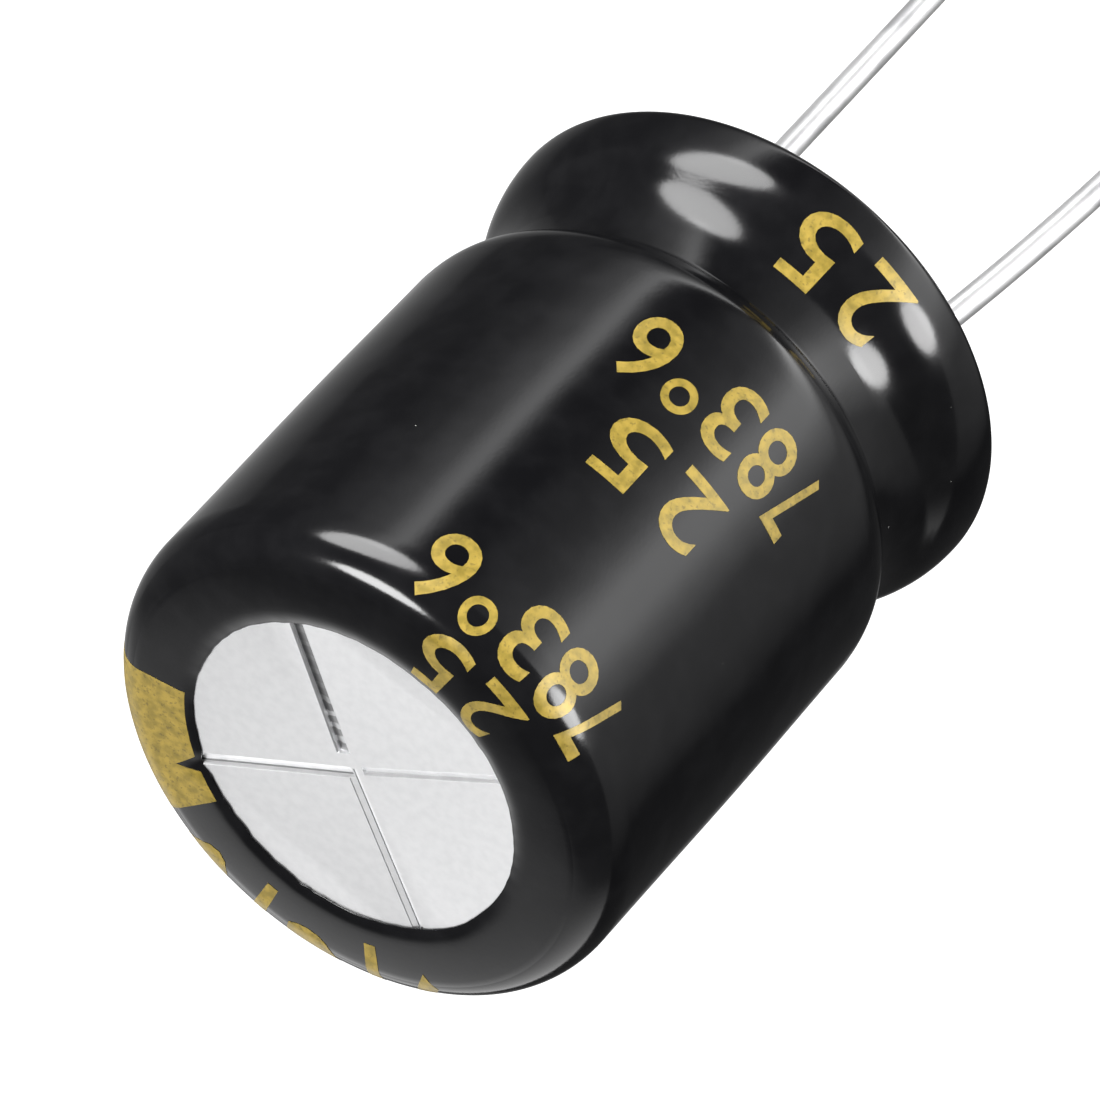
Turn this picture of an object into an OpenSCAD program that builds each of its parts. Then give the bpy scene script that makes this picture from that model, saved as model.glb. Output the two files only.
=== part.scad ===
// Radial aluminium electrolytic capacitor with a shrink sleeve and two round leads.
// The origin is the centre of the seating plane, +Z points along the axis to the vent end,
// the leads point down, and the anode lead is on the +X side.

/* [Can] */
// Outside diameter of the can
can_d = 16; // [12:0.5:22]
// Height of the can, from its curled rim to its vent end
can_h = 21.4; // [20:0.2:40]
// Thickness of the can's side wall
can_wall = 0.35; // [0.25:0.05:0.45]
// Thickness of the vent end
vent_plate = 0.5; // [0.4:0.05:0.8]
// Reach of the shoulder's curve across the vent end
shoulder_w = 1.0; // [0.8:0.05:1.6]
// Reach of the shoulder's curve down the side
shoulder_h = 1.42; // [1:0.02:2]

/* [Pressure relief score] */
// Width of the score lines
score_w = 0.3; // [0.15:0.05:0.5]
// Depth of the score lines
score_depth = 0.18; // [0.08:0.02:0.26]
// Distance that each score line runs on under the sleeve's edge
score_overrun = 0.3; // [0.1:0.05:0.6]
// Turn of the cross from the line of the leads
score_turn = 18.5; // [0:0.5:90]
// Distance that the punch sits beside the can's axis
score_shift = 0.25; // [0:0.05:0.5]

/* [Bead groove] */
// Depth of the groove below the can's side
bead_depth = 1.04; // [0.9:0.02:1.2]
// Slope of the groove's upper side, measured from the axis
bead_slope = 47; // [35:1:50]
// Outside radius of the bend from the can's side into the groove
bead_outer_r = 2.2; // [1.4:0.05:2.3]
// Outside radius of the bend from the slope to the groove's floor
bead_floor_r = 0.5; // [0.3:0.05:0.6]
// Height of the groove's straight floor
bead_floor_h = 0.2; // [0.1:0.05:1]

/* [Curled rim] */
// Distance that the rim stands out beyond the can's side
rim_flare = 0.2; // [0.2:0.05:0.4]
// Slope of the rim's upper side, measured from the axis
rim_slope = 32; // [30:0.5:35]
// Length of the straight part of the rim's upper side
rim_flank_l = 0.3; // [0.1:0.05:0.5]
// Outside radius of the bend from the rim's upper side to its widest line
rim_top_r = 3.1; // [2.6:0.1:3.6]
// Reach of the rim's lower curve across
rim_low_w = 2.13; // [1.5:0.05:2.4]
// Height of the rim's lower curve
rim_low_h = 0.77; // [0.6:0.01:1.2]
// Width of the curled rim, from its widest line in to the can's mouth
rim_curl_w = 3; // [2.8:0.05:3.3]

/* [Sleeve] */
// Thickness of the shrink sleeve
sleeve_t = 0.15; // [0.08:0.01:0.2]
// Width of the sleeve's lip on the vent end, from the can's side in to the open window
top_lip_w = 2.8; // [2:0.1:4]
// Distance that the sleeve's lower lip stays back from the can's mouth
lower_lip_back = 0.45; // [0.35:0.05:0.6]

/* [Leads] */
// Distance from the can's side in to the axis of each lead at the seal
lead_inset = 4.25; // [4:0.05:5]
// Diameter of the tinned wires
lead_d = 0.8; // [0.6:0.05:1]
// Length of the cathode lead below the seating plane
cathode_l = 20; // [8:1:30]
// Angle at which the anode lead leaves the seal
anode_splay = 11.2; // [2:0.2:14]
// Radius of the long bend that brings the anode lead back parallel
anode_sweep_r = 110; // [40:5:140]
// Length of the anode lead's straight end below its long bend
anode_end_l = 4.6; // [3:0.2:12]
// Diameter of the weld bead between wire and stem
weld_d = 1.2; // [1.1:0.05:1.5]
// Height of the weld bead
weld_h = 0.5; // [0.3:0.05:0.8]

/* [Seal] */
// Depth of the weld's pocket in the seal's outer face
pocket_h = 0.9; // [0.8:0.05:1.2]
// Radial clearance of the weld bead in its pocket
pocket_gap = 0.65; // [0.5:0.05:0.8]
// Radial clearance of the stems in the seal
stem_gap = 0.01; // [0.01:0.01:0.03]

/* [Aluminium tabs] */
// Diameter of the round stem in the seal
stem_d = 2; // [1.6:0.1:2.4]
// Width of the flattened paddle
paddle_w = 3; // [2:0.1:4]
// Thickness of the flattened paddle
paddle_t = 0.3; // [0.2:0.05:0.5]
// Height over which the stem is pressed flat
flatten_h = 1.4; // [1:0.1:2]
// Length that the paddles reach into the winding
paddle_l = 10; // [4:0.5:10.5]
// Clearance around the paddles in the winding
paddle_gap = 0.05; // [0.03:0.01:0.1]

/* [Winding] */
// Radial room between the taped winding and the can
winding_room = 0.35; // [0.2:0.05:0.8]
// Room between the winding and the vent end
winding_top_gap = 0.4; // [0.2:0.1:1]
// Diameter of the hole that the winding pin leaves
core_d = 2.6; // [2:0.1:3.5]
// Pitch of the turns that show on the winding's ends
turn_pitch = 0.6; // [0.5:0.1:1.2]
// Width of the shallow gap between turns that show
turn_gap = 0.16; // [0.1:0.02:0.2]
// Depth of the shallow gap between turns that show
turn_depth = 0.2; // [0.1:0.05:0.4]
// Thickness of the tape around the winding
tape_t = 0.08; // [0.05:0.01:0.15]

/* [Hidden] */
$fn = 96;
// A cut runs this far past the face that it opens
past = 1;
// Straight steps in each bend of the sheet
bend_steps = 8;

can_r = can_d/2;
// The sleeve's lower lip lies between the can and the board, so the can starts one thickness up
can_base = sleeve_t;
can_top = can_base + can_h;
rim_r = can_r + rim_flare;
rim_edge = can_base + rim_low_h;
mouth_r = rim_r - rim_curl_w;
groove_r = can_r - bead_depth;
// The bend from the groove's floor to the rim's upper side takes up what the other two leave
bead_foot_r = (bead_depth + rim_flare - rim_flank_l*sin(rim_slope))/(1 - cos(rim_slope)) - rim_top_r;
floor_low = rim_edge + (rim_top_r + bead_foot_r)*sin(rim_slope) + rim_flank_l*cos(rim_slope);
floor_high = floor_low + bead_floor_h;
slope_low = [groove_r + bead_floor_r*(1 - cos(bead_slope)), floor_high + bead_floor_r*sin(bead_slope)];
slope_high_r = can_r - bead_outer_r*(1 - cos(bead_slope));
slope_high = [slope_high_r, slope_low[1] + (slope_high_r - slope_low[0])/tan(bead_slope)];
bead_top = slope_high[1] + bead_outer_r*sin(bead_slope);
window_r = can_r - top_lip_w;
lower_lip_r = mouth_r + lower_lip_back;
score_l = 2*(window_r + score_overrun);

lead_x = can_r - lead_inset;
seal_face = can_base + can_wall;
stem_foot = seal_face + pocket_h;
flatten_start = bead_top;
winding_low = flatten_start + flatten_h;
winding_high = can_top - vent_plate - winding_top_gap;
winding_r = can_r - can_wall - winding_room - tape_t;

// Points of an elliptic arc in the (radius, height) plane, from angle a0 to a1
function arc(centre, rx, rz, a0, a1) =
    [for (i = [0:bend_steps]) let (a = a0 + (a1 - a0)*i/bend_steps) centre + [rx*cos(a), rz*sin(a)]];

// The vent end and shoulder, from the axis outwards, moved out by t at the side and by t_end at the end
function shoulder_profile(t, t_end) = concat(
    [[0, can_top + t_end]],
    arc([can_r - shoulder_w, can_top - shoulder_h], shoulder_w + t, shoulder_h + t_end, 90, 0));

// The bead groove and the upper half of the rim, from the can's side down to the rim's widest line
function bead_profile(t) = concat(
    arc([can_r - bead_outer_r, bead_top], bead_outer_r + t, bead_outer_r + t, 0, -bead_slope),
    arc([groove_r + bead_floor_r, floor_high], bead_floor_r - t, bead_floor_r - t, 180 - bead_slope, 180),
    arc([groove_r + bead_foot_r, floor_low], bead_foot_r - t, bead_foot_r - t, 180, 180 + rim_slope),
    arc([rim_r - rim_top_r, rim_edge], rim_top_r + t, rim_top_r + t, rim_slope, 0));

// The lower half of the rim, from its widest line down to its flat underside
function curl_profile(t) =
    arc([rim_r - rim_low_w, rim_edge], rim_low_w + t, rim_low_h + t, 0, -90);

function reversed(points) = [for (i = [len(points) - 1:-1:0]) points[i]];

// A straight wire along the axis between two heights
module straight_wire(x, low, high) {
    translate([x, 0, low])
        cylinder(d = lead_d, h = high - low, $fn = 32);
}

// The bead of the butt weld, a little wider than the wire and flat against the stem
module weld_bead(x) {
    translate([x, 0, stem_foot - weld_h])
        cylinder(d1 = lead_d, d2 = weld_d, h = weld_h, $fn = 32);
}

module sleeve() {
    color("#1c1c1f")
        rotate_extrude()
            polygon(concat(
                [[window_r, can_top], [window_r, can_top + sleeve_t]],
                [for (p = shoulder_profile(sleeve_t, sleeve_t)) if (p[0] > window_r) p],
                bead_profile(sleeve_t),
                curl_profile(sleeve_t),
                [[lower_lip_r, 0], [lower_lip_r, can_base]],
                reversed(curl_profile(0)),
                reversed(bead_profile(0)),
                [for (p = reversed(shoulder_profile(0, 0))) if (p[0] > window_r) p]));
}

module can() {
    color("#d9dadd")
        difference() {
            rotate_extrude()
                polygon(concat(
                    shoulder_profile(0, 0),
                    bead_profile(0),
                    curl_profile(0),
                    arc([mouth_r + can_wall/2, can_base + can_wall/2], can_wall/2, can_wall/2, 270, 90),
                    reversed(curl_profile(-can_wall)),
                    reversed(bead_profile(-can_wall)),
                    reversed(shoulder_profile(-can_wall, -vent_plate))));
            for (turn = [score_turn, score_turn + 90])
                translate([0, score_shift, can_top])
                    rotate([0, 0, turn])
                        cube([score_l, score_w, 2*score_depth], center = true);
        }
}

module seal() {
    color("#26262a")
        difference() {
            rotate_extrude()
                polygon(concat(
                    [[0, bead_top]],
                    bead_profile(-can_wall),
                    curl_profile(-can_wall),
                    [[0, seal_face]]));
            for (x = [-lead_x, lead_x]) {
                translate([x, 0, stem_foot])
                    cylinder(r = stem_d/2 + stem_gap, h = bead_top - stem_foot + past);
                translate([x, 0, seal_face - past])
                    cylinder(r = weld_d/2 + pocket_gap, h = pocket_h + past + pocket_gap, $fn = 48);
            }
        }
}

module cathode_lead() {
    color("#c8cacd") {
        weld_bead(-lead_x);
        straight_wire(-lead_x, -cathode_l, stem_foot - weld_h);
    }
}

// The wire turns outwards in the seal's pocket, sweeps back, and ends in a straight length
module anode_lead() {
    turn_z = seal_face + (pocket_h - weld_h)/2;
    lap = lead_d/16;
    sweep_x = lead_x - anode_sweep_r*cos(anode_splay);
    sweep_low = turn_z + lap - anode_sweep_r*sin(anode_splay);
    color("#c8cacd") {
        weld_bead(lead_x);
        straight_wire(lead_x, turn_z, stem_foot - weld_h);
        translate([sweep_x, 0, sweep_low]) {
            rotate([90, 0, 0])
                rotate_extrude(angle = anode_splay)
                    translate([anode_sweep_r, 0])
                        circle(d = lead_d, $fn = 32);
            straight_wire(anode_sweep_r, -anode_end_l, 0);
        }
    }
}

// A round stem whose upper part is pressed flat, square to the line of the leads
module tab(x) {
    color("#b4b7bb")
        translate([x, 0, 0]) {
            translate([0, 0, stem_foot])
                cylinder(d = stem_d, h = flatten_start - stem_foot);
            intersection() {
                translate([0, paddle_w/2, flatten_start])
                    rotate([90, 0, 0])
                        linear_extrude(paddle_w)
                            polygon([[-stem_d/2, 0], [stem_d/2, 0], [paddle_t/2, flatten_h],
                                     [-paddle_t/2, flatten_h]]);
                translate([-stem_d/2, 0, flatten_start])
                    rotate([90, 0, 90])
                        linear_extrude(stem_d)
                            polygon([[-stem_d/2, 0], [stem_d/2, 0], [paddle_w/2, flatten_h],
                                     [-paddle_w/2, flatten_h]]);
                translate([0, 0, flatten_start])
                    cylinder(d1 = stem_d, d2 = paddle_w + paddle_t, h = flatten_h);
            }
            translate([-paddle_t/2, -paddle_w/2, winding_low])
                cube([paddle_t, paddle_w, paddle_l]);
        }
}

module anode_tab() {
    tab(lead_x);
}

module cathode_tab() {
    tab(-lead_x);
}

// A shallow ring between two turns on one end of the roll
module turn_ring(r, end) {
    translate([0, 0, end - turn_depth])
        difference() {
            cylinder(r = r + turn_gap, h = 2*turn_depth);
            translate([0, 0, -past])
                cylinder(r = r, h = 2*turn_depth + 2*past);
        }
}

module winding() {
    slot_w = paddle_w + 2*paddle_gap;
    slot_t = paddle_t + 2*paddle_gap;
    color("#a99f88")
        difference() {
            translate([0, 0, winding_low])
                cylinder(r = winding_r, h = winding_high - winding_low);
            translate([0, 0, winding_low - past])
                cylinder(d = core_d, h = winding_high - winding_low + 2*past);
            for (r = [core_d/2 + turn_pitch:turn_pitch:winding_r - turn_pitch/2]) {
                turn_ring(r, winding_low);
                turn_ring(r, winding_high);
            }
            for (x = [-lead_x, lead_x])
                translate([x - slot_t/2, -slot_w/2, winding_low - past])
                    cube([slot_t, slot_w, paddle_l + paddle_gap + past]);
        }
}

module winding_tape() {
    color("#c8ad52")
        difference() {
            translate([0, 0, winding_low])
                cylinder(r = winding_r + tape_t, h = winding_high - winding_low);
            translate([0, 0, winding_low - past])
                cylinder(r = winding_r, h = winding_high - winding_low + 2*past);
        }
}

sleeve();
can();
seal();
anode_lead();
cathode_lead();
anode_tab();
cathode_tab();
winding();
winding_tape();
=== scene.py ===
"""Looks of a radial electrolytic capacitor in a black shrink sleeve.

Every length in a class is in millimetres, in the part's own frame: the origin is the centre of the seating
plane, +Z runs along the axis to the vent end, and +X points from the cathode lead to the anode lead. The
meshes are in metres. An azimuth is in degrees from +X, counted as seen from the vent end.
"""

from __future__ import annotations

import logging
import math
from dataclasses import dataclass, field
from enum import Enum
from typing import Iterable, Sequence

import bmesh
import bpy
import numpy as np
from mathutils import Matrix, Vector, noise

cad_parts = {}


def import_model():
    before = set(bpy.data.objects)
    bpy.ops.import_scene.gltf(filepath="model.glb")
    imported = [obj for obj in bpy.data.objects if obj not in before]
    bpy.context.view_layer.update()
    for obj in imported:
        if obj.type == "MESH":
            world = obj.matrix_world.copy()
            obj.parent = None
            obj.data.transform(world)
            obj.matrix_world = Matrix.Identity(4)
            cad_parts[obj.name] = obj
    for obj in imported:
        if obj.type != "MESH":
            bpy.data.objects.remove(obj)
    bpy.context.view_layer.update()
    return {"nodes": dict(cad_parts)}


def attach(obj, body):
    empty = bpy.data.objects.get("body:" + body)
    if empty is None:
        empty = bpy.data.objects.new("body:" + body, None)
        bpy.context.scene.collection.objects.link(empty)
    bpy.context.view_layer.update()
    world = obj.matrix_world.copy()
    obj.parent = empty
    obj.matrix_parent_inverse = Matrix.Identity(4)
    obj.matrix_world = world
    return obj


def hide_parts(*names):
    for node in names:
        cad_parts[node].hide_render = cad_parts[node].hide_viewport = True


LOG = logging.getLogger("capacitor")
MM = 0.001
BODY = "root"
WELD = 1e-5

Point = tuple[float, float]
Colour = tuple[float, float, float, float]
Mesh = bmesh.types.BMesh
Face = bmesh.types.BMFace
Node = bpy.types.Node
Socket = bpy.types.NodeSocket


# ---------------------------------------------------------------- shader graph


class Value:
    """One number socket that can be used in Python expressions."""

    def __init__(self, graph: Graph, socket: Socket) -> None:
        """Wraps a socket of a graph."""
        self.graph = graph
        self.socket = socket

    def math(self, operation: str, *others: Value | float, clamp: bool = False) -> Value:
        """Adds a Math node with this value first.

        Args:
            operation: the Math node's operation.
            others: its further operands.
            clamp: whether the result is kept between 0 and 1.

        Returns:
            The node's result.
        """
        sockets = dict(enumerate((self, *others)))
        made = self.graph.node("ShaderNodeMath", {"operation": operation, "use_clamp": clamp}, sockets)
        return Value(self.graph, made.outputs[0])

    def swapped(self, operation: str, other: float) -> Value:
        """Adds a Math node with a plain number first and this value second."""
        made = self.graph.node("ShaderNodeMath", {"operation": operation}, {0: other, 1: self})
        return Value(self.graph, made.outputs[0])

    def __add__(self, other: Value | float) -> Value:
        """Returns the sum."""
        return self.math("ADD", other)

    __radd__ = __add__

    def __sub__(self, other: Value | float) -> Value:
        """Returns the difference."""
        return self.math("SUBTRACT", other)

    def __rsub__(self, other: float) -> Value:
        """Returns a number less this value."""
        return self.swapped("SUBTRACT", other)

    def __mul__(self, other: Value | float) -> Value:
        """Returns the product."""
        return self.math("MULTIPLY", other)

    __rmul__ = __mul__

    def __truediv__(self, other: Value | float) -> Value:
        """Returns the quotient."""
        return self.math("DIVIDE", other)

    def __rtruediv__(self, other: float) -> Value:
        """Returns a number divided by this value."""
        return self.swapped("DIVIDE", other)

    def __lt__(self, other: Value | float) -> Value:
        """Returns 1 where this value is the lower one, else 0."""
        return self.math("LESS_THAN", other)

    def __gt__(self, other: Value | float) -> Value:
        """Returns 1 where this value is the higher one, else 0."""
        return self.math("GREATER_THAN", other)

    def ramp(self, low: float, high: float) -> Value:
        """Returns a smooth step from 0 at low to 1 at high."""
        made = self.graph.node(
            "ShaderNodeMapRange",
            {"interpolation_type": "SMOOTHSTEP"},
            {"Value": self, "From Min": low, "From Max": high},
        )
        return Value(self.graph, made.outputs[0])


class Graph:
    """The node tree of one material or world."""

    def __init__(self, tree: bpy.types.NodeTree) -> None:
        """Empties the tree and keeps it."""
        self.tree = tree
        tree.nodes.clear()

    def node(self, kind: str, settings: dict | None = None, sockets: dict | None = None) -> Node:
        """Adds a node.

        Args:
            kind: the node's type.
            settings: its properties, or "stops" with the position and colour of each stop of a ramp.
            sockets: input names or numbers with a plain value, a socket, a Value or a node to link.

        Returns:
            The node.
        """
        made = self.tree.nodes.new(kind)
        for name, setting in (settings or {}).items():
            if name == "stops":
                self._set_stops(made.color_ramp, setting)
            else:
                setattr(made, name, setting)
        for name, value in (sockets or {}).items():
            target = made.inputs[name]
            if isinstance(value, Value):
                self.tree.links.new(value.socket, target)
            elif isinstance(value, Socket):
                self.tree.links.new(value, target)
            elif isinstance(value, Node):
                self.tree.links.new(value.outputs[0], target)
            else:
                target.default_value = value
        return made

    @staticmethod
    def _set_stops(ramp: bpy.types.ColorRamp, stops: Sequence[tuple[float, Colour]]) -> None:
        """Gives a ramp its stops.

        Args:
            ramp: the ramp, which starts with two stops.
            stops: position and colour of each stop.
        """
        while len(ramp.elements) < len(stops):
            ramp.elements.new(1.0)
        for element, (position, colour) in zip(ramp.elements, stops):
            element.position = position
            element.color = colour

    def place(self) -> Socket:
        """Returns the place on the piece, in metres in the part's frame."""
        return self.node("ShaderNodeTexCoord").outputs["Object"]

    def axis(self, name: str) -> Value:
        """Returns the X, Y or Z part of the place."""
        return Value(self, self.node("ShaderNodeSeparateXYZ", None, {0: self.place()}).outputs[name])

    def grain(self, scale: float, detail: float, stretch: tuple[float, float, float] = (1, 1, 1)) -> Value:
        """Returns a noise value.

        Args:
            scale: features per metre.
            detail: the noise's detail.
            stretch: factors on the three axes; a low one draws the noise out along that axis.

        Returns:
            The noise, around 0.5.
        """
        mapped = self.node("ShaderNodeMapping", None, {"Vector": self.place(), "Scale": stretch})
        made = self.node("ShaderNodeTexNoise", None, {"Vector": mapped, "Scale": scale, "Detail": detail})
        return Value(self, made.outputs["Fac"])

    def specks(self, scale: float, radius: float, share: float) -> Value:
        """Returns 1 on small scattered dots.

        Args:
            scale: cells per metre, with one dot at most in each cell.
            radius: the dots' radius, as a share of a cell.
            share: the share of the cells that hold a dot.

        Returns:
            The dots' mask.
        """
        cells = self.node("ShaderNodeTexVoronoi", None, {"Vector": self.place(), "Scale": scale})
        chance = self.node("ShaderNodeSeparateColor", None, {0: cells.outputs["Color"]})
        chosen = Value(self, chance.outputs[0]) < share
        size = Value(self, chance.outputs[1]) * radius + radius * 0.4
        return (Value(self, cells.outputs["Distance"]) < size) * chosen

    def blend(self, factor: Value | float, first: Colour | Socket, second: Colour) -> Socket:
        """Returns a colour between two colours."""
        made = self.node("ShaderNodeMix", {"data_type": "RGBA"}, {0: factor, 6: first, 7: second})
        return made.outputs[2]

    def bump(self, height: Value, depth_mm: float, below: Node | None = None) -> Node:
        """Adds a Bump node.

        Args:
            height: the height, where 1 stands for the full depth.
            depth_mm: the full depth.
            below: a Bump node that this one lies on.

        Returns:
            The Bump node.
        """
        sockets = {"Height": height, "Distance": depth_mm * MM, "Strength": 1.0}
        if below:
            sockets["Normal"] = below
        return self.node("ShaderNodeBump", None, sockets)

    def surface(self, **sockets: object) -> None:
        """Adds the Principled shader and the output.

        Args:
            sockets: the shader's inputs, with low lines for the spaces in their names.
        """
        named = {name.replace("_", " "): value for name, value in sockets.items()}
        shader = self.node("ShaderNodeBsdfPrincipled", None, named)
        self.node("ShaderNodeOutputMaterial", None, {"Surface": shader.outputs[0]})


def grey(level: float) -> Colour:
    """Returns a neutral colour."""
    return (level, level, level, 1.0)


# -------------------------------------------------------------------- finishes


@dataclass(frozen=True)
class Finish:
    """A surface finish. Each kind fills in its nodes."""

    name: str

    def material(self) -> bpy.types.Material:
        """Makes the finish's material.

        Returns:
            The material.
        """
        made = bpy.data.materials.new(self.name)
        made.use_nodes = True
        self.fill(Graph(made.node_tree))
        return made

    def fill(self, graph: Graph) -> None:
        """Adds the finish's nodes."""
        raise NotImplementedError


@dataclass(frozen=True)
class SleeveFilm(Finish):
    """Glossy black shrink film, with faint ripples, a fine grain and a little dust."""

    colour: Colour = (0.0032, 0.0032, 0.0037, 1.0)
    haze_colour: Colour = (0.0052, 0.0052, 0.0058, 1.0)
    dust_colour: Colour = (0.20, 0.20, 0.19, 1.0)
    roughness: float = 0.10
    ripple_mm: float = 0.010
    grain_mm: float = 0.0010
    sag_mm: float = 0.16
    sag_start: float = 5.0
    sag_reach: float = 2.2

    def fill(self, graph: Graph) -> None:
        """Adds the film's nodes.

        Args:
            graph: the material\'s graph.
        """
        dust = graph.specks(scale=1150, radius=0.035, share=0.16)
        haze = graph.grain(900, 4)
        x, y = graph.axis("X"), graph.axis("Y")
        radius = (x * x + y * y).math("SQRT") / MM
        outwards = (radius - self.sag_start).math("DIVIDE", self.sag_reach, clamp=True)
        sag = graph.bump(1.0 - outwards * outwards, self.sag_mm)
        ripple = graph.bump(graph.grain(230, 1), self.ripple_mm, sag)
        fine = graph.bump(graph.grain(9000, 2), self.grain_mm, ripple)
        tone = graph.blend(haze.ramp(0.35, 0.75), self.colour, self.haze_colour)
        graph.surface(
            Base_Color=graph.blend(dust, tone, self.dust_colour),
            Roughness=haze * 0.07 + dust * 0.3 + self.roughness,
            Normal=fine,
            Specular_IOR_Level=0.24,
        )


@dataclass(frozen=True)
class GoldInk(Finish):
    """Gold screen ink, uneven and broken by dark pinholes."""

    deep: Colour = (0.175, 0.126, 0.015, 1.0)
    bright: Colour = (0.295, 0.208, 0.031, 1.0)
    pinhole: Colour = (0.045, 0.033, 0.008, 1.0)

    def fill(self, graph: Graph) -> None:
        """Adds the ink's nodes.

        Args:
            graph: the material\'s graph.
        """
        wash = graph.grain(3400, 4)
        holes = graph.grain(9000, 2).ramp(0.58, 0.70)
        ink = graph.blend(wash.ramp(0.3, 0.7), self.deep, self.bright)
        graph.surface(
            Base_Color=graph.blend(holes * 0.5, ink, self.pinhole),
            Roughness=wash * 0.2 + 0.32,
            Metallic=0.15,
            Normal=graph.bump(graph.grain(7000, 3), 0.004),
        )


@dataclass(frozen=True)
class CanMetal(Finish):
    """Satin drawn aluminium with a fine, even grain, and painted shade darkening the floors of the stamped
    cross.
    """

    light: Colour = (0.94, 0.942, 0.95, 1.0)
    shade: Colour = (0.885, 0.888, 0.897, 1.0)
    # Painted shade colour for the floors of the cross's grooves.
    painted_groove_grey: Colour = (0.27, 0.27, 0.275, 1.0)
    roughness: float = 0.32
    vent_z: float = 21.55
    window_r: float = 5.0
    dish_mm: float = 0.05
    groove_floor: Point = (-0.118, -0.096)
    below_groove: float = -0.3
    teeth_per_mm: float = 14.0
    teeth_end: Point = (1.7, 2.8)
    plain_arms_end: float = 0.45

    def fill(self, graph: Graph) -> None:
        """Adds the metal's nodes.

        Args:
            graph: the material\'s graph.
        """
        mottle = graph.grain(3200, 4)
        stain = graph.specks(scale=300, radius=0.028, share=0.16)
        tone = graph.blend(mottle.ramp(0.25, 0.7), self.shade, self.light)
        x, along = graph.axis("X") / MM, graph.axis("Y") / MM
        dish = graph.bump((x * x + along * along) / self.window_r**2, self.dish_mm)
        height = graph.axis("Z") / MM - self.vent_z
        # Painted shade: the floors of the cross's grooves are darkened, in bars along each arm and solid near
        # the centre.
        depth = (1.0 - height.ramp(*self.groove_floor)) * (height > self.below_groove)
        teeth = (along * self.teeth_per_mm + graph.grain(1800, 2) * 5.0).math("SINE").ramp(-0.5, 0.3)
        broken = (along.ramp(*self.teeth_end) * 0.8 + teeth * 0.7).math("MINIMUM", 0.92)
        painted_groove_shade = depth * broken.math("MAXIMUM", (along < self.plain_arms_end) * 0.75)
        tone = graph.blend(painted_groove_shade, tone, self.painted_groove_grey)
        graph.surface(
            Base_Color=graph.blend(stain * 0.7, tone, grey(0.25)),
            Metallic=1.0,
            Roughness=mottle * 0.06 + self.roughness,
            Normal=graph.bump(graph.grain(9000, 3), 0.0016, dish),
        )


@dataclass(frozen=True)
class TinnedWire(Finish):
    """Bright tin on drawn wire, with long die marks and a few dull patches."""

    light: Colour = (0.88, 0.88, 0.885, 1.0)
    dull: Colour = (0.46, 0.46, 0.47, 1.0)

    def fill(self, graph: Graph) -> None:
        """Adds the wire's nodes.

        Args:
            graph: the material\'s graph.
        """
        marks = graph.grain(5200, 2, (1, 1, 0.035))
        patches = graph.grain(1100, 4, (1, 1, 0.35))
        stain = graph.specks(scale=420, radius=0.06, share=0.10)
        tone = graph.blend(patches.ramp(0.40, 0.66) * 0.8, self.light, self.dull)
        graph.surface(
            Base_Color=graph.blend(stain * 0.8, tone, grey(0.10)),
            Metallic=0.8,
            Roughness=patches * 0.22 + marks * 0.10 + 0.22,
            Normal=graph.bump(marks, 0.004),
        )


@dataclass(frozen=True)
class SealRubber(Finish):
    """Matt moulded rubber with a cloudy bloom."""

    colour: Colour = (0.021, 0.021, 0.023, 1.0)
    bloom: Colour = (0.060, 0.060, 0.062, 1.0)

    def fill(self, graph: Graph) -> None:
        """Adds the rubber's nodes.

        Args:
            graph: the material\'s graph.
        """
        cloud = graph.grain(420, 4)
        graph.surface(
            Base_Color=graph.blend(cloud.ramp(0.45, 0.8), self.colour, self.bloom),
            Roughness=cloud * 0.2 + 0.6,
            Normal=graph.bump(graph.grain(4200, 4), 0.010),
        )


@dataclass(frozen=True)
class TabMetal(Finish):
    """Etched aluminium of the pole stems and paddles."""

    light: Colour = (0.80, 0.80, 0.81, 1.0)
    shade: Colour = (0.62, 0.62, 0.64, 1.0)

    def fill(self, graph: Graph) -> None:
        """Adds the metal's nodes.

        Args:
            graph: the material\'s graph.
        """
        drawn = graph.grain(3400, 3, (1, 1, 0.08))
        graph.surface(
            Base_Color=graph.blend(drawn.ramp(0.3, 0.7), self.shade, self.light),
            Metallic=1.0,
            Roughness=drawn * 0.2 + 0.34,
            Normal=graph.bump(drawn, 0.005),
        )


@dataclass(frozen=True)
class RolledFoil(Finish):
    """Edges of damp paper and grey foil, turn on turn."""

    turn_mm: float = 0.6
    paper: Colour = (0.44, 0.37, 0.25, 1.0)
    foil: Colour = (0.34, 0.35, 0.36, 1.0)

    def fill(self, graph: Graph) -> None:
        """Adds the nodes.

        Args:
            graph: the material\'s graph.
        """
        x, y = graph.axis("X"), graph.axis("Y")
        radius = (x * x + y * y).math("SQRT")
        turns = (radius * (2 * math.pi / (self.turn_mm * MM / 4))).math("SINE") * 0.5 + 0.5
        soak = graph.grain(600, 4)
        graph.surface(
            Base_Color=graph.blend(turns.ramp(0.35, 0.65), self.paper, self.foil),
            Roughness=soak * 0.3 + 0.5,
            Normal=graph.bump(turns * 0.7 + graph.grain(5000, 3) * 0.3, 0.02),
        )


@dataclass(frozen=True)
class AmberTape(Finish):
    """Amber closing tape with faint lengthwise bands."""

    light: Colour = (0.55, 0.36, 0.085, 1.0)
    deep: Colour = (0.40, 0.24, 0.045, 1.0)

    def fill(self, graph: Graph) -> None:
        """Adds the tape's nodes.

        Args:
            graph: the material\'s graph.
        """
        bands = graph.grain(900, 3, (0.15, 0.15, 1))
        graph.surface(
            Base_Color=graph.blend(bands.ramp(0.35, 0.65), self.deep, self.light),
            Roughness=bands * 0.15 + 0.25,
            Normal=graph.bump(bands, 0.01),
        )


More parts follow.
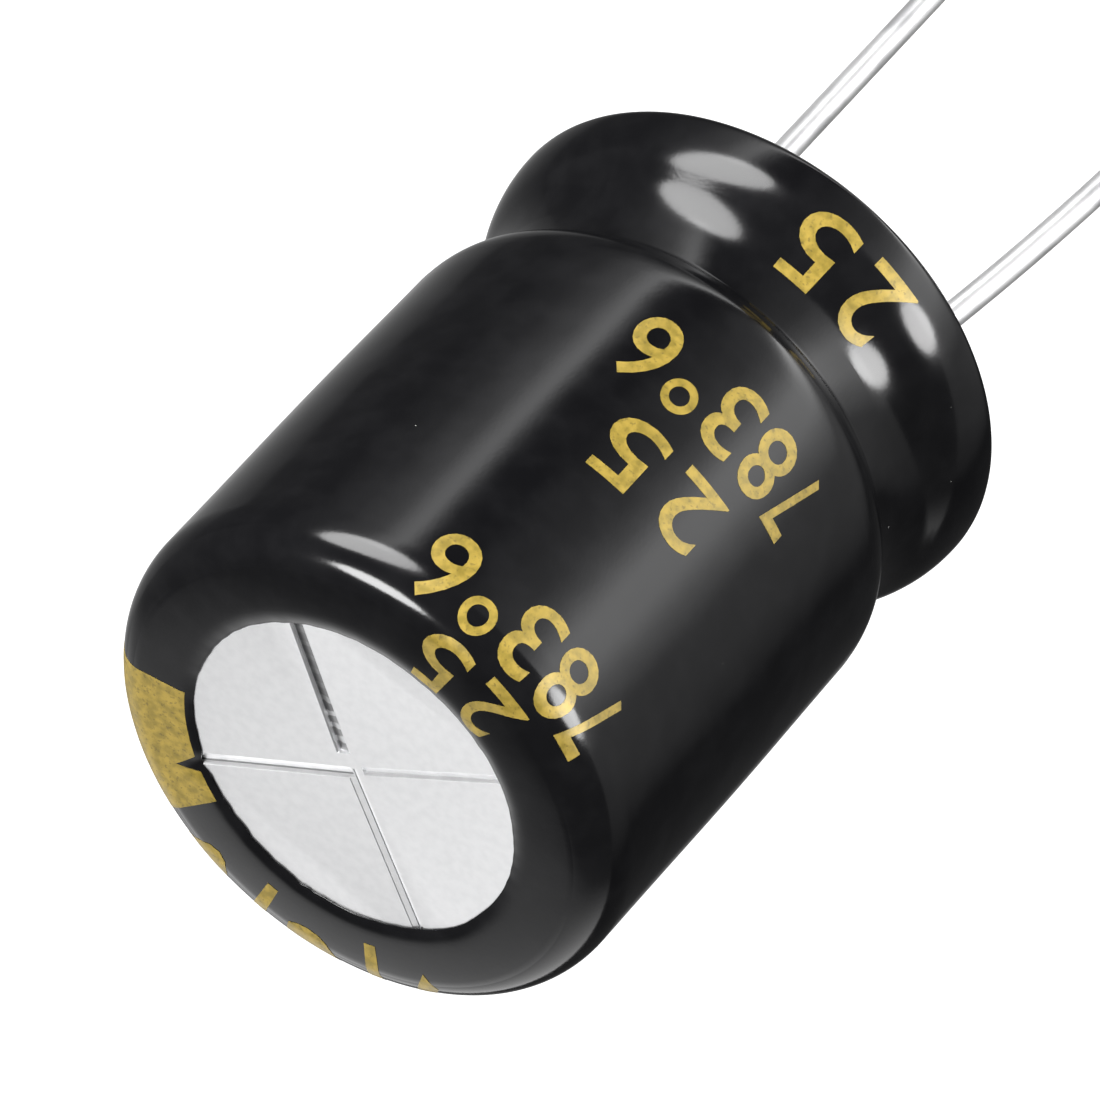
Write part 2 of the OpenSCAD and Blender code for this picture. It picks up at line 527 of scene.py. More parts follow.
# ------------------------------------------------------------------ mesh tools


def to_metres(bm: Mesh) -> None:
    """Scales a mesh from millimetres to metres."""
    bmesh.ops.scale(bm, vec=(MM, MM, MM), verts=bm.verts)


def slice_at(bm: Mesh, normal: tuple[int, int, int], place: float) -> None:
    """Cuts every face along a plane that lies place away from the origin."""
    geometry = bm.verts[:] + bm.edges[:] + bm.faces[:]
    bmesh.ops.bisect_plane(bm, geom=geometry, dist=WELD, plane_co=Vector(normal) * place, plane_no=normal)


def to_object(name: str, bm: Mesh) -> bpy.types.Object:
    """Puts a mesh into the scene.

    Args:
        name: the object's name.
        bm: the mesh, which is freed here.

    Returns:
        The object.
    """
    mesh = bpy.data.meshes.new(name)
    bm.to_mesh(mesh)
    bm.free()
    made = bpy.data.objects.new(name, mesh)
    bpy.context.scene.collection.objects.link(made)
    return made


def make_piece(
    name: str,
    bm: Mesh,
    finish: Finish,
    nodes: Iterable[str] = (),
    smooth_deg: float = 35.0,
) -> bpy.types.Object:
    """Turns a finished mesh into a piece of the object.

    Args:
        name: the piece's name.
        bm: its mesh in metres, which is freed here.
        finish: its finish.
        nodes: the nodes that it stands for.
        smooth_deg: edges sharper than this stay hard.

    Returns:
        The piece.
    """
    piece = to_object(name, bm)
    mesh = piece.data
    mesh.shade_smooth()
    mesh.set_sharp_from_angle(angle=math.radians(smooth_deg))
    mesh.materials.append(finish.material())
    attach(piece, BODY)
    for node in nodes:
        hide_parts(node)
    LOG.info("%s: %d faces", name, len(mesh.polygons))
    return piece


def arc(centre: Point, across: float, along: float, start: float, end: float, steps: int) -> list[Point]:
    """Points of an elliptic arc in the plane of radius and height.

    Args:
        centre: radius and height of the centre.
        across: reach along the radius.
        along: reach along the height.
        start: first angle in degrees.
        end: last angle in degrees.
        steps: number of steps.

    Returns:
        The points, both ends included.
    """
    angles = [math.radians(start + (end - start) * i / steps) for i in range(steps + 1)]
    return [(centre[0] + across * math.cos(a), centre[1] + along * math.sin(a)) for a in angles]


def spin_loop(points: Sequence[Point], steps: int, closed: bool = True) -> Mesh:
    """Turns a profile about the axis.

    Args:
        points: radius and height of each point, in millimetres.
        steps: number of steps round the axis.
        closed: whether the last point joins the first.

    Returns:
        The mesh in millimetres.
    """
    bm = bmesh.new()
    verts = [bm.verts.new((r, 0.0, z)) for r, z in points]
    pairs = list(zip(verts, verts[1:]))
    if closed:
        pairs.append((verts[-1], verts[0]))
    edges = [bm.edges.new(pair) for pair in pairs]
    bmesh.ops.spin(
        bm,
        geom=verts + edges,
        cent=(0, 0, 0),
        axis=(0, 0, 1),
        dvec=(0, 0, 0),
        angle=2 * math.pi,
        steps=steps,
        use_merge=True,
        use_duplicate=False,
    )
    bmesh.ops.remove_doubles(bm, verts=bm.verts, dist=WELD)
    bmesh.ops.recalc_face_normals(bm, faces=bm.faces)
    return bm


def bell(value: float, centre: float, width: float) -> float:
    """Returns a bell curve that is 1 at its centre."""
    return math.exp(-(((value - centre) / width) ** 2))


def around(azimuth: float, centre: float) -> float:
    """Returns how far an azimuth is from another, from -180 to 180."""
    return (azimuth - centre + 180.0) % 360.0 - 180.0


# ----------------------------------------------------------------- case shapes


@dataclass(frozen=True)
class CaseSizes:
    """The sizes that the can and its sleeve share."""

    can_r: float = 8.0
    top: float = 21.55
    base: float = 0.15
    wall: float = 0.35
    vent_plate: float = 0.5
    shoulder_w: float = 1.0
    shoulder_h: float = 1.42
    bead_depth: float = 1.04
    bead_slope: float = 47.0
    bead_outer_r: float = 2.2
    bead_floor_r: float = 0.5
    bead_floor_h: float = 0.2
    rim_flare: float = 0.2
    rim_slope: float = 32.0
    rim_flank_l: float = 0.3
    rim_top_r: float = 3.1
    rim_low_w: float = 2.13
    rim_low_h: float = 0.77
    curl_w: float = 3.0
    film: float = 0.15
    window_r: float = 5.2
    lower_lip_r: float = 5.65
    lip_round: float = 0.06
    lip_thin: float = 0.55
    lip_reach: float = 0.42

    @property
    def rim_r(self) -> float:
        """Radius of the rim."""
        return self.can_r + self.rim_flare

    @property
    def groove_r(self) -> float:
        """Radius of the groove's floor."""
        return self.can_r - self.bead_depth

    @property
    def rim_edge(self) -> float:
        """Height of the rim's widest line."""
        return self.base + self.rim_low_h

    @property
    def bead_foot_r(self) -> float:
        """Radius of the bend from the groove's floor to the rim's upper side."""
        slope = math.radians(self.rim_slope)
        across = self.bead_depth + self.rim_flare - self.rim_flank_l * math.sin(slope)
        return across / (1 - math.cos(slope)) - self.rim_top_r

    @property
    def floor_low(self) -> float:
        """Height at which the groove's straight floor starts."""
        slope = math.radians(self.rim_slope)
        bends = (self.rim_top_r + self.bead_foot_r) * math.sin(slope)
        return self.rim_edge + bends + self.rim_flank_l * math.cos(slope)

    @property
    def floor_high(self) -> float:
        """Height at which the groove's straight floor ends."""
        return self.floor_low + self.bead_floor_h

    @property
    def bead_top(self) -> float:
        """Height at which the straight side starts."""
        slope = math.radians(self.bead_slope)
        low_r = self.groove_r + self.bead_floor_r * (1 - math.cos(slope))
        high_r = self.can_r - self.bead_outer_r * (1 - math.cos(slope))
        low_z = self.floor_high + self.bead_floor_r * math.sin(slope)
        return low_z + (high_r - low_r) / math.tan(slope) + self.bead_outer_r * math.sin(slope)

    def shoulder(self, out: float, up: float, fine: int) -> list[Point]:
        """Points of the shoulder, moved out by out at the side and by up at the end."""
        centre = (self.can_r - self.shoulder_w, self.top - self.shoulder_h)
        return arc(centre, self.shoulder_w + out, self.shoulder_h + up, 90, 0, 12 * fine)

    def side(self, fine: int, out: float) -> list[Point]:
        """Points between the shoulder's end and the bead's start, moved out by out."""
        high, low = self.top - self.shoulder_h, self.bead_top
        return [(self.can_r + out, high + (low - high) * i / (8 * fine)) for i in range(1, 8 * fine)]

    def bead(self, out: float, fine: int) -> list[Point]:
        """Points of the groove and the rim's upper curve.

        Args:
            out: how far the points are moved out.
            fine: how many times the steps are split.

        Returns:
            The points, from the straight side down to the rim's widest line.
        """
        slope = self.bead_slope
        outer, floor, foot = self.bead_outer_r, self.bead_floor_r, self.bead_foot_r
        points = arc((self.can_r - outer, self.bead_top), outer + out, outer + out, 0, -slope, 8 * fine)
        inner = floor - out
        points += arc((self.groove_r + floor, self.floor_high), inner, inner, 180 - slope, 180, 6 * fine)
        low, high = self.floor_low, self.floor_high
        points += [(self.groove_r + out, high + (low - high) * i / (3 * fine)) for i in range(1, 3 * fine)]
        points += arc((self.groove_r + foot, low), foot - out, foot - out, 180, 180 + self.rim_slope, 8 * fine)
        top = self.rim_top_r
        points += arc((self.rim_r - top, self.rim_edge), top + out, top + out, self.rim_slope, 0, 8 * fine)
        return points

    def curl(self, out: float, fine: int) -> list[Point]:
        """Points of the rim's lower curve, moved out by out."""
        centre = (self.rim_r - self.rim_low_w, self.rim_edge)
        return arc(centre, self.rim_low_w + out, self.rim_low_h + out, 0, -90, 8 * fine)

    def film_line(self, out: float, fine: int) -> list[Point]:
        """Points of the film's outer or inner face, from the window to the lower lip.

        Args:
            out: the face's distance from the can.
            fine: how many times the steps are split.

        Returns:
            The points.
        """
        lip, flat_end = self.window_r + self.lip_round, self.can_r - self.shoulder_w
        line = []
        for i in range(6 * fine):
            reach = i / (6 * fine)
            radius = lip + (flat_end - lip) * reach * reach
            thin = max(0.0, 1.0 - (radius - lip) / self.lip_reach) ** 2 * self.lip_thin
            line.append((radius, self.top + out * (1.0 - thin)))
        line += self.shoulder(out, out, fine)
        line += self.side(fine, out)
        line += self.bead(out, fine)
        line += self.curl(out, fine)[1:]
        end = self.rim_r - self.rim_low_w
        line += [(end + (self.lower_lip_r + self.lip_round - end) * i / 2, self.base - out) for i in (1, 2)]
        return drop_repeats(line)


def drop_repeats(points: Sequence[Point], least: float = 1e-4) -> list[Point]:
    """Drops the points that repeat the one before.

    Args:
        points: the points.
        least: the least distance between two points that stay.

    Returns:
        The points that stay.
    """
    kept = [points[0]]
    for point in points[1:]:
        if math.dist(point, kept[-1]) > least:
            kept.append(point)
    return kept


@dataclass(frozen=True)
class FilmForm:
    """How the shrunk film departs from a turned shape."""

    sizes: CaseSizes
    swell: float = 0.05
    swell_z: float = 13.0
    swell_reach: float = 4.2
    swell_edge: float = 0.5
    lip_depth: float = 0.2
    lip_reach: float = 0.9
    lip_wave: float = 0.025
    lip_sink: float = 0.012
    lip_ragged: float = 0.07
    lip_slack: float = 0.15
    wander_scale: float = 2.3
    ragged_scale: float = 13.0
    ragged_az: float = 236.0
    ragged_width: float = 24.0
    slack_width: float = 62.0
    pucker_az: float = 198.0
    pucker_width: float = 3.2
    pucker: float = 0.16
    pucker_dip: float = 0.06
    pucker_r: float = 5.5
    pucker_reach: float = 0.35

    @staticmethod
    def _noise(azimuth: float, scale: float, layer: float) -> float:
        """Returns a noise value that meets itself after a turn."""
        turn = math.radians(azimuth)
        return noise.noise(Vector((scale * math.cos(turn), scale * math.sin(turn), layer)))

    def shaped(self, place: Vector) -> Vector:
        """Moves a point of the ideal film to where the real film lies.

        Args:
            place: the point in millimetres.

        Returns:
            The moved point.
        """
        radius = math.hypot(place.x, place.y)
        azimuth = math.degrees(math.atan2(place.y, place.x)) % 360.0
        grow, rise = 0.0, 0.0
        if place.z > self.sizes.bead_top and radius > self.sizes.can_r - self.swell_edge:
            grow += self.swell * bell(place.z, self.swell_z, self.swell_reach)
        if place.z > self.sizes.top - self.lip_depth:
            near_lip = max(0.0, 1.0 - (radius - self.sizes.window_r) / self.lip_reach) ** 2
            wander = self._noise(azimuth, self.wander_scale, 0.4)
            ragged = self._noise(azimuth, self.ragged_scale, 2.1)
            beside = around(azimuth, self.ragged_az)
            amount = self.lip_wave + self.lip_ragged * bell(beside, 0, self.ragged_width)
            fold = bell(around(azimuth, self.pucker_az), 0, self.pucker_width)
            grow += near_lip * (self.lip_wave * 2 * wander + amount * ragged)
            grow += near_lip * (self.lip_slack * bell(beside, 0, self.slack_width) + self.pucker * fold)
            rise -= near_lip * self.lip_sink * (wander + 1.0)
            rise -= self.pucker_dip * fold * bell(radius, self.pucker_r, self.pucker_reach)
        scale = (radius + grow) / radius if radius > 1e-6 else 1.0
        return Vector((place.x * scale, place.y * scale, place.z + rise))


# --------------------------------------------------------------- sub-assemblies


@dataclass
class ShrinkSleeve:
    """The shrink sleeve, one closed tube of film with rounded lips."""

    sizes: CaseSizes
    form: FilmForm
    steps: int = 288
    gap: float = 0.004

    def outline(self) -> list[Point]:
        """Draws the film's profile.

        Returns:
            Its closed line: outer face, lower lip, inner face and upper lip.
        """
        sizes = self.sizes
        outer = sizes.film_line(sizes.film, 2)
        inner = sizes.film_line(self.gap, 1)
        middle, half = (sizes.film + self.gap) / 2, (sizes.film - self.gap) / 2
        lip, left = sizes.lip_round, 1.0 - sizes.lip_thin
        low_lip = arc((sizes.lower_lip_r + lip, sizes.base - middle), lip, half, 270, 90, 6)[1:-1]
        high_lip = arc((sizes.window_r + lip, sizes.top + middle * left), lip, half * left, 270, 90, 6)[1:-1]
        return drop_repeats(outer + low_lip + inner[::-1] + high_lip)

    def build(self) -> bpy.types.Object:
        """Builds the sleeve.

        Returns:
            The piece.
        """
        bm = spin_loop(self.outline(), self.steps)
        for vert in bm.verts:
            vert.co = self.form.shaped(vert.co)
        to_metres(bm)
        return make_piece("sleeve_film", bm, SleeveFilm("shrink film"), ["sleeve"], 60)


@dataclass(frozen=True)
class ScoreArm:
    """One arm of the stamped cross: where it starts and ends, and the section of its groove."""

    start: Point
    end: Point
    width: float
    depth: float
    lean: float
    floor: float
    shelf: float


@dataclass
class DrawnCan:
    """The drawn aluminium can with its stamped relief cross."""

    sizes: CaseSizes
    steps: int = 192
    edge_run: float = 0.035
    edge_rise: float = 0.012
    edge_drop: float = 0.018
    wall_run: float = 0.015
    clear: float = 0.3
    arms: tuple[ScoreArm, ...] = (
        ScoreArm((-0.26, 0.72), (-1.56, 5.45), 0.42, 0.150, 0.0, 0.34, 0.03),
        ScoreArm((-0.02, 0.10), (-5.35, -1.58), 0.36, 0.130, 0.55, 0.02, 0.110),
        ScoreArm((-0.06, 0.24), (1.86, -5.45), 0.36, 0.140, 0.35, 0.02, 0.026),
        ScoreArm((0.34, 0.30), (5.4, 2.1), 0.25, 0.100, -0.5, 0.02, 0.085),
    )

    def outline(self) -> list[Point]:
        """Draws the can's profile.

        Returns:
            Its line, from the vent end's flat round to its inner face.
        """
        sizes = self.sizes
        outer = sizes.shoulder(0, 0, 1) + sizes.side(1, 0) + sizes.bead(0, 1) + sizes.curl(0, 1)
        mouth, half = sizes.rim_r - sizes.curl_w, sizes.wall / 2
        lip = arc((mouth + half, sizes.base + half), half, half, 270, 90, 8)
        inset = -sizes.wall
        inner = sizes.shoulder(inset, -sizes.vent_plate, 1) + sizes.bead(inset, 1) + sizes.curl(inset, 1)
        return drop_repeats(outer + lip + inner[::-1])

    def shell(self) -> Mesh:
        """Spins the can.

        Returns:
            The can without its cross, in millimetres.
        """
        bm = spin_loop(self.outline(), self.steps, closed=False)
        rims = [edge for edge in bm.edges if edge.is_boundary]
        bmesh.ops.holes_fill(bm, edges=rims, sides=0)
        bmesh.ops.recalc_face_normals(bm, faces=bm.faces)
        return bm

    def cutter(self) -> Mesh:
        """Builds the stamping tool.

        Returns:
            One ridge for each arm, in millimetres.
        """
        bm = bmesh.new()
        for arm in self.arms:
            start = Vector((*arm.start, 0))
            end = Vector((*arm.end, 0))
            along = (end - start).normalized()
            across = Vector((-along.y, along.x, 0))
            half = arm.width / 2
            outer, tip, flat = half + self.edge_run, arm.lean * half, arm.floor / 2
            edge = [(outer + self.clear, self.clear), (outer, self.edge_rise), (half, -self.edge_drop)]
            section = [(-u, w) for u, w in edge]
            section += [(tip - flat - self.wall_run, -arm.shelf), (tip - flat, -arm.depth)]
            section += [(tip + flat, -arm.depth), (tip + flat + self.wall_run, -arm.shelf)]
            section += edge[::-1]
            verts = [bm.verts.new(start + across * u + Vector((0, 0, self.sizes.top + w))) for u, w in section]
            face = bm.faces.new(verts)
            grown = bmesh.ops.extrude_face_region(bm, geom=[face])
            moved = [item for item in grown["geom"] if isinstance(item, bmesh.types.BMVert)]
            bmesh.ops.translate(bm, vec=end - start, verts=moved)
        bmesh.ops.recalc_face_normals(bm, faces=bm.faces)
        return bm

    def build(self) -> bpy.types.Object:
        """Builds the can with its cross cut in.

        Returns:
            The piece.
        """
        blank, tool = self.shell(), self.cutter()
        to_metres(blank)
        to_metres(tool)
        cut = boolean_cut(blank, tool)
        return make_piece("can_shell", cut, CanMetal("drawn aluminium"), ["can"], 24)


def boolean_cut(blank: Mesh, tool: Mesh) -> Mesh:
    """Cuts one closed mesh with another.

    Args:
        blank: the mesh to cut, which is freed.
        tool: the mesh to take away, which is freed.

    Returns:
        The result.
    """
    objects = [to_object("blank", blank), to_object("tool", tool)]
    cut = objects[0].modifiers.new("cut", "BOOLEAN")
    cut.object, cut.operation, cut.solver, cut.use_self = objects[1], "DIFFERENCE", "EXACT", True
    graph = bpy.context.evaluated_depsgraph_get()
    result = bmesh.new()
    result.from_object(objects[0], graph)
    for holder in objects:
        mesh = holder.data
        bpy.data.objects.remove(holder)
        bpy.data.meshes.remove(mesh)
    bmesh.ops.remove_doubles(result, verts=result.verts, dist=1e-8)
    return result


@dataclass
class LeadWire:
    """A tinned wire: a weld bead in the seal's pocket, an optional long bend and a straight end."""

    name: str
    node: str
    x: float
    tip_z: float
    splay_deg: float = 0.0
    sweep_r: float = 110.0
    radius: float = 0.4
    bead_r: float = 0.6
    stem_foot: float = 1.4
    weld_h: float = 0.5
    turn_z: float = 0.75
    tip_bevel: float = 0.06
    tip_scale: float = 0.86
    sides: int = 40

    def build(self) -> bpy.types.Object:
        """Builds the wire from its weld down to its cut end.

        Returns:
            The piece.
        """
        bm = bmesh.new()
        ring = bmesh.ops.create_circle(bm, cap_ends=True, radius=self.bead_r, segments=self.sides)["verts"]
        bmesh.ops.translate(bm, vec=(self.x, 0, self.stem_foot), verts=ring)
        face = list(bm.faces)[0]
        neck = self.radius / (self.bead_r * 0.98 * 0.76)
        for share, scale in ((0.30, 0.98), (0.45, 0.76), (0.25, neck)):
            face = self._step(bm, face, -self.weld_h * share, scale)
        if self.splay_deg:
            face = self._bend(bm, face)
        face = self._step(bm, face, self.tip_z + self.tip_bevel - face.calc_center_median().z, 1.0)
        self._step(bm, face, -self.tip_bevel, self.tip_scale)
        bmesh.ops.holes_fill(bm, edges=[edge for edge in bm.edges if edge.is_boundary], sides=0)
        bmesh.ops.recalc_face_normals(bm, faces=bm.faces)
        to_metres(bm)
        return make_piece(self.name, bm, TinnedWire("tinned wire"), [self.node], 40)

    @staticmethod
    def _step(bm: Mesh, face: Face, down: float, scale: float) -> Face:
        """Extrudes the end face and scales it about its own centre.

        Args:
            bm: the wire's mesh.
            face: its end face.
            down: how far the new end face is moved in Z.
            scale: its new size, as a share of the old one.

        Returns:
            The new end face.
        """
        end = bmesh.ops.extrude_discrete_faces(bm, faces=[face])["faces"][0]
        bmesh.ops.translate(bm, vec=(0, 0, down), verts=end.verts)
        centre = end.calc_center_median()
        bmesh.ops.scale(bm, vec=(scale, scale, 1), space=Matrix.Translation(-centre), verts=end.verts)
        return end

    def _bend(self, bm: Mesh, face: Face) -> Face:
        """Turns the wire outwards in the pocket and sweeps it back to the axis' direction.

        Args:
            bm: the wire's mesh.
            face: its end face.

        Returns:
            The new end face.
        """
        splay = math.radians(self.splay_deg)
        face = self._step(bm, face, self.turn_z - face.calc_center_median().z, 1.0)
        pivot = face.calc_center_median()
        bmesh.ops.rotate(bm, cent=pivot, matrix=Matrix.Rotation(-splay, 3, "Y"), verts=face.verts)
        centre = pivot - self.sweep_r * Vector((math.cos(splay), 0, math.sin(splay)))
        grown = bmesh.ops.spin(
            bm, geom=[face], cent=centre, axis=(0, 1, 0), dvec=(0, 0, 0), angle=splay, steps=36,
            use_merge=False, use_duplicate=False,
        )
        bmesh.ops.delete(bm, geom=[face], context="FACES_ONLY")
        return [item for item in grown["geom_last"] if isinstance(item, Face)][0]


class Kind(Enum):
    """What a printed mark is."""

    DIGIT = "digit"
    RING = "ring"
    BAR = "bar"
    STRIPE = "stripe"


@dataclass(frozen=True)
class Mark:
    """A printed mark in a field of azimuth and film length."""

    kind: Kind
    left: float
    right: float
    top: float
    bottom: float
    text: str = ""


@dataclass
class GoldPrint:
    """Gold print on the film: plain digits, rings and bars, wrapped onto the sleeve's outer face."""

    sizes: CaseSizes
    form: FilmForm
    name: str
    marks: list[Mark] = field(default_factory=list)
    cut_every: float = 0.22
    under: float = -0.006
    over: float = 0.010
    probe: float = 0.04
    minus_first: float = 3.2
    minus_every: float = 3.3
    minus_ends: float = 3.5
    minus_h: float = 0.62
    minus_side: float = 0.26
    # Notch sizes: the gold is pulled back here so the black film is painted shade in the pucker's valley.
    notch_half: float = 2.7
    notch_deep: float = 0.85
    notch_fade: float = 1.8

    def __post_init__(self) -> None:
        """Measures the film's outer face."""
        self.line = np.array(self.sizes.film_line(self.sizes.film, 2))
        steps = np.linalg.norm(np.diff(self.line, axis=0), axis=1)
        self.along = np.concatenate([[0.0], np.cumsum(steps)])
        self.columns = np.ascontiguousarray(self.line.T)

    def _face_at(self, length: float) -> np.ndarray:
        """Returns radius and height of the film's outer face."""
        return np.array([np.interp(length, self.along, column) for column in self.columns])

    def wrap(self, azimuth: float, length: float, lift: float) -> Vector:
        """Returns the place on the film.

        Args:
            azimuth: degrees from +X.
            length: distance along the film from the window's lip.
            lift: height above the film.

        Returns:
            The place in millimetres.
        """
        radius, height = self._face_at(length)
        run_r, run_z = self._face_at(length + self.probe) - self._face_at(length - self.probe)
        size = math.hypot(run_r, run_z)
        radius += lift * -run_z / size
        height += lift * run_r / size
        turn = math.radians(azimuth)
        return self.form.shaped(Vector((radius * math.cos(turn), radius * math.sin(turn), height)))

    def flat_mark(self, mark: Mark) -> Mesh:
        """Builds a mark as flat faces.

        Args:
            mark: the mark.

        Returns:
            The faces, with azimuth as degrees in X and film length in Y.
        """
        bm = bmesh.new()
        if mark.kind is Kind.DIGIT:
            self._add_digit(bm, mark.text)
        elif mark.kind is Kind.RING:
            self._add_ring(bm)
        else:
            bmesh.ops.create_grid(bm, x_segments=1, y_segments=1, size=0.5)
        low = Vector((min(v.co.x for v in bm.verts), min(v.co.y for v in bm.verts), 0))
        high = Vector((max(v.co.x for v in bm.verts), max(v.co.y for v in bm.verts), 0))
        size = high - low
        for vert in bm.verts:
            share_x = (vert.co.x - low.x) / size.x
            share_y = (vert.co.y - low.y) / size.y
            vert.co = Vector((
                mark.left + (mark.right - mark.left) * share_x,
                mark.bottom + (mark.top - mark.bottom) * share_y,
                0.0,
            ))
        return bm

    @staticmethod
    def _add_digit(bm: Mesh, text: str) -> None:
        """Adds a character's flat faces.

        Args:
            bm: the mesh.
            text: the character.
        """
        curve = bpy.data.curves.new("digit", "FONT")
        curve.body = text
        curve.offset = 0.008
        curve.resolution_u = 5
        holder = bpy.data.objects.new("digit", curve)
        bpy.context.scene.collection.objects.link(holder)
        graph = bpy.context.evaluated_depsgraph_get()
        mesh = bpy.data.meshes.new_from_object(holder.evaluated_get(graph))
        bm.from_mesh(mesh)
        bpy.data.meshes.remove(mesh)
        bpy.data.objects.remove(holder)
        bpy.data.curves.remove(curve)
        bmesh.ops.remove_doubles(bm, verts=bm.verts, dist=WELD)

    @staticmethod
    def _add_ring(bm: Mesh) -> None:
        """Adds a flat ring of radius 1.

        Args:
            bm: the mesh.
        """
        outer = bmesh.ops.create_circle(bm, radius=1.0, segments=28)["verts"]
        inner = bmesh.ops.create_circle(bm, radius=0.56, segments=28)["verts"]
        rims = {edge for vert in outer + inner for edge in vert.link_edges}
        bmesh.ops.bridge_loops(bm, edges=list(rims))

    def _add_cuts(self, bm: Mesh, mark: Mark) -> None:
        """Cuts a flat mark into small cells, so that it can follow the film.

        Args:
            bm: the flat mark.
            mark: what it is.
        """
        per_degree = math.radians(1.0) * self.sizes.can_r
        for normal, low, high, step in (
            ((1, 0, 0), mark.left, mark.right, self.cut_every / per_degree),
            ((0, 1, 0), min(mark.top, mark.bottom), max(mark.top, mark.bottom), self.cut_every),
        ):
            count = max(1, round((high - low) / step))
            for i in range(1, count):
                slice_at(bm, normal, low + (high - low) * i / count)

    def _open_windows(self, bm: Mesh, mark: Mark) -> None:
        """Opens the stripe's minus-shaped windows and cuts a notch into its upper edge at the film's pucker,
        where the bared black film is painted shade of the pucker's valley.

        Args:
            bm: the flat stripe.
            mark: what it is.
        """
        inset = (mark.right - mark.left) * self.minus_side
        sides = (mark.left + inset, mark.right - inset)
        count = int((mark.bottom - mark.top - self.minus_ends) / self.minus_every)
        starts = [mark.top + self.minus_first + i * self.minus_every for i in range(count)]
        ends = [(start, start + self.minus_h) for start in starts]
        notch_az = self.form.pucker_az
        notch = [notch_az + self.notch_half * i / 2 for i in range(-2, 3)]
        for azimuth in (*sides, *notch):
            slice_at(bm, (1, 0, 0), azimuth)
        for length in (end for pair in ends for end in pair):
            slice_at(bm, (0, 1, 0), length)
        inside = []
        for face in bm.faces:
            middle = face.calc_center_median()
            if sides[0] < middle.x < sides[1] and any(low < middle.y < high for low, high in ends):
                inside.append(face)
        bmesh.ops.delete(bm, geom=inside, context="FACES")
        # Painted shade: the stripe's edge is pulled back at the pucker so the black film stands in for the
        # shade in its valley.
        for vert in bm.verts:
            beside = max(0.0, 1.0 - abs(vert.co.x - notch_az) / self.notch_half)
            below = max(0.0, 1.0 - (vert.co.y - mark.top) / self.notch_fade)
            vert.co.y += self.notch_deep * beside * below

    def build(self) -> bpy.types.Object:
        """Builds all the marks as one thin closed layer of ink.

        Returns:
            The piece.
        """
        whole = bmesh.new()
        for mark in self.marks:
            bm = self.flat_mark(mark)
            self._add_cuts(bm, mark)
            if mark.kind is Kind.STRIPE:
                self._open_windows(bm, mark)
            bmesh.ops.triangulate(bm, faces=[face for face in bm.faces if len(face.verts) > 4])
            grown = bmesh.ops.extrude_face_region(bm, geom=bm.faces[:])
            raised = {item for item in grown["geom"] if isinstance(item, bmesh.types.BMVert)}
            for vert in bm.verts:
                lift = self.over if vert in raised else self.under
                vert.co = self.wrap(vert.co.x, vert.co.y, lift)
            bm.normal_update()
            bmesh.ops.recalc_face_normals(bm, faces=bm.faces)
            if bm.calc_volume(signed=True) < 0:
                bmesh.ops.reverse_faces(bm, faces=bm.faces)
            mesh = bpy.data.meshes.new("mark")
            bm.to_mesh(mesh)
            bm.free()
            whole.from_mesh(mesh)
            bpy.data.meshes.remove(mesh)
        to_metres(whole)
        return make_piece(self.name, whole, GoldInk("gold ink"), smooth_deg=50)


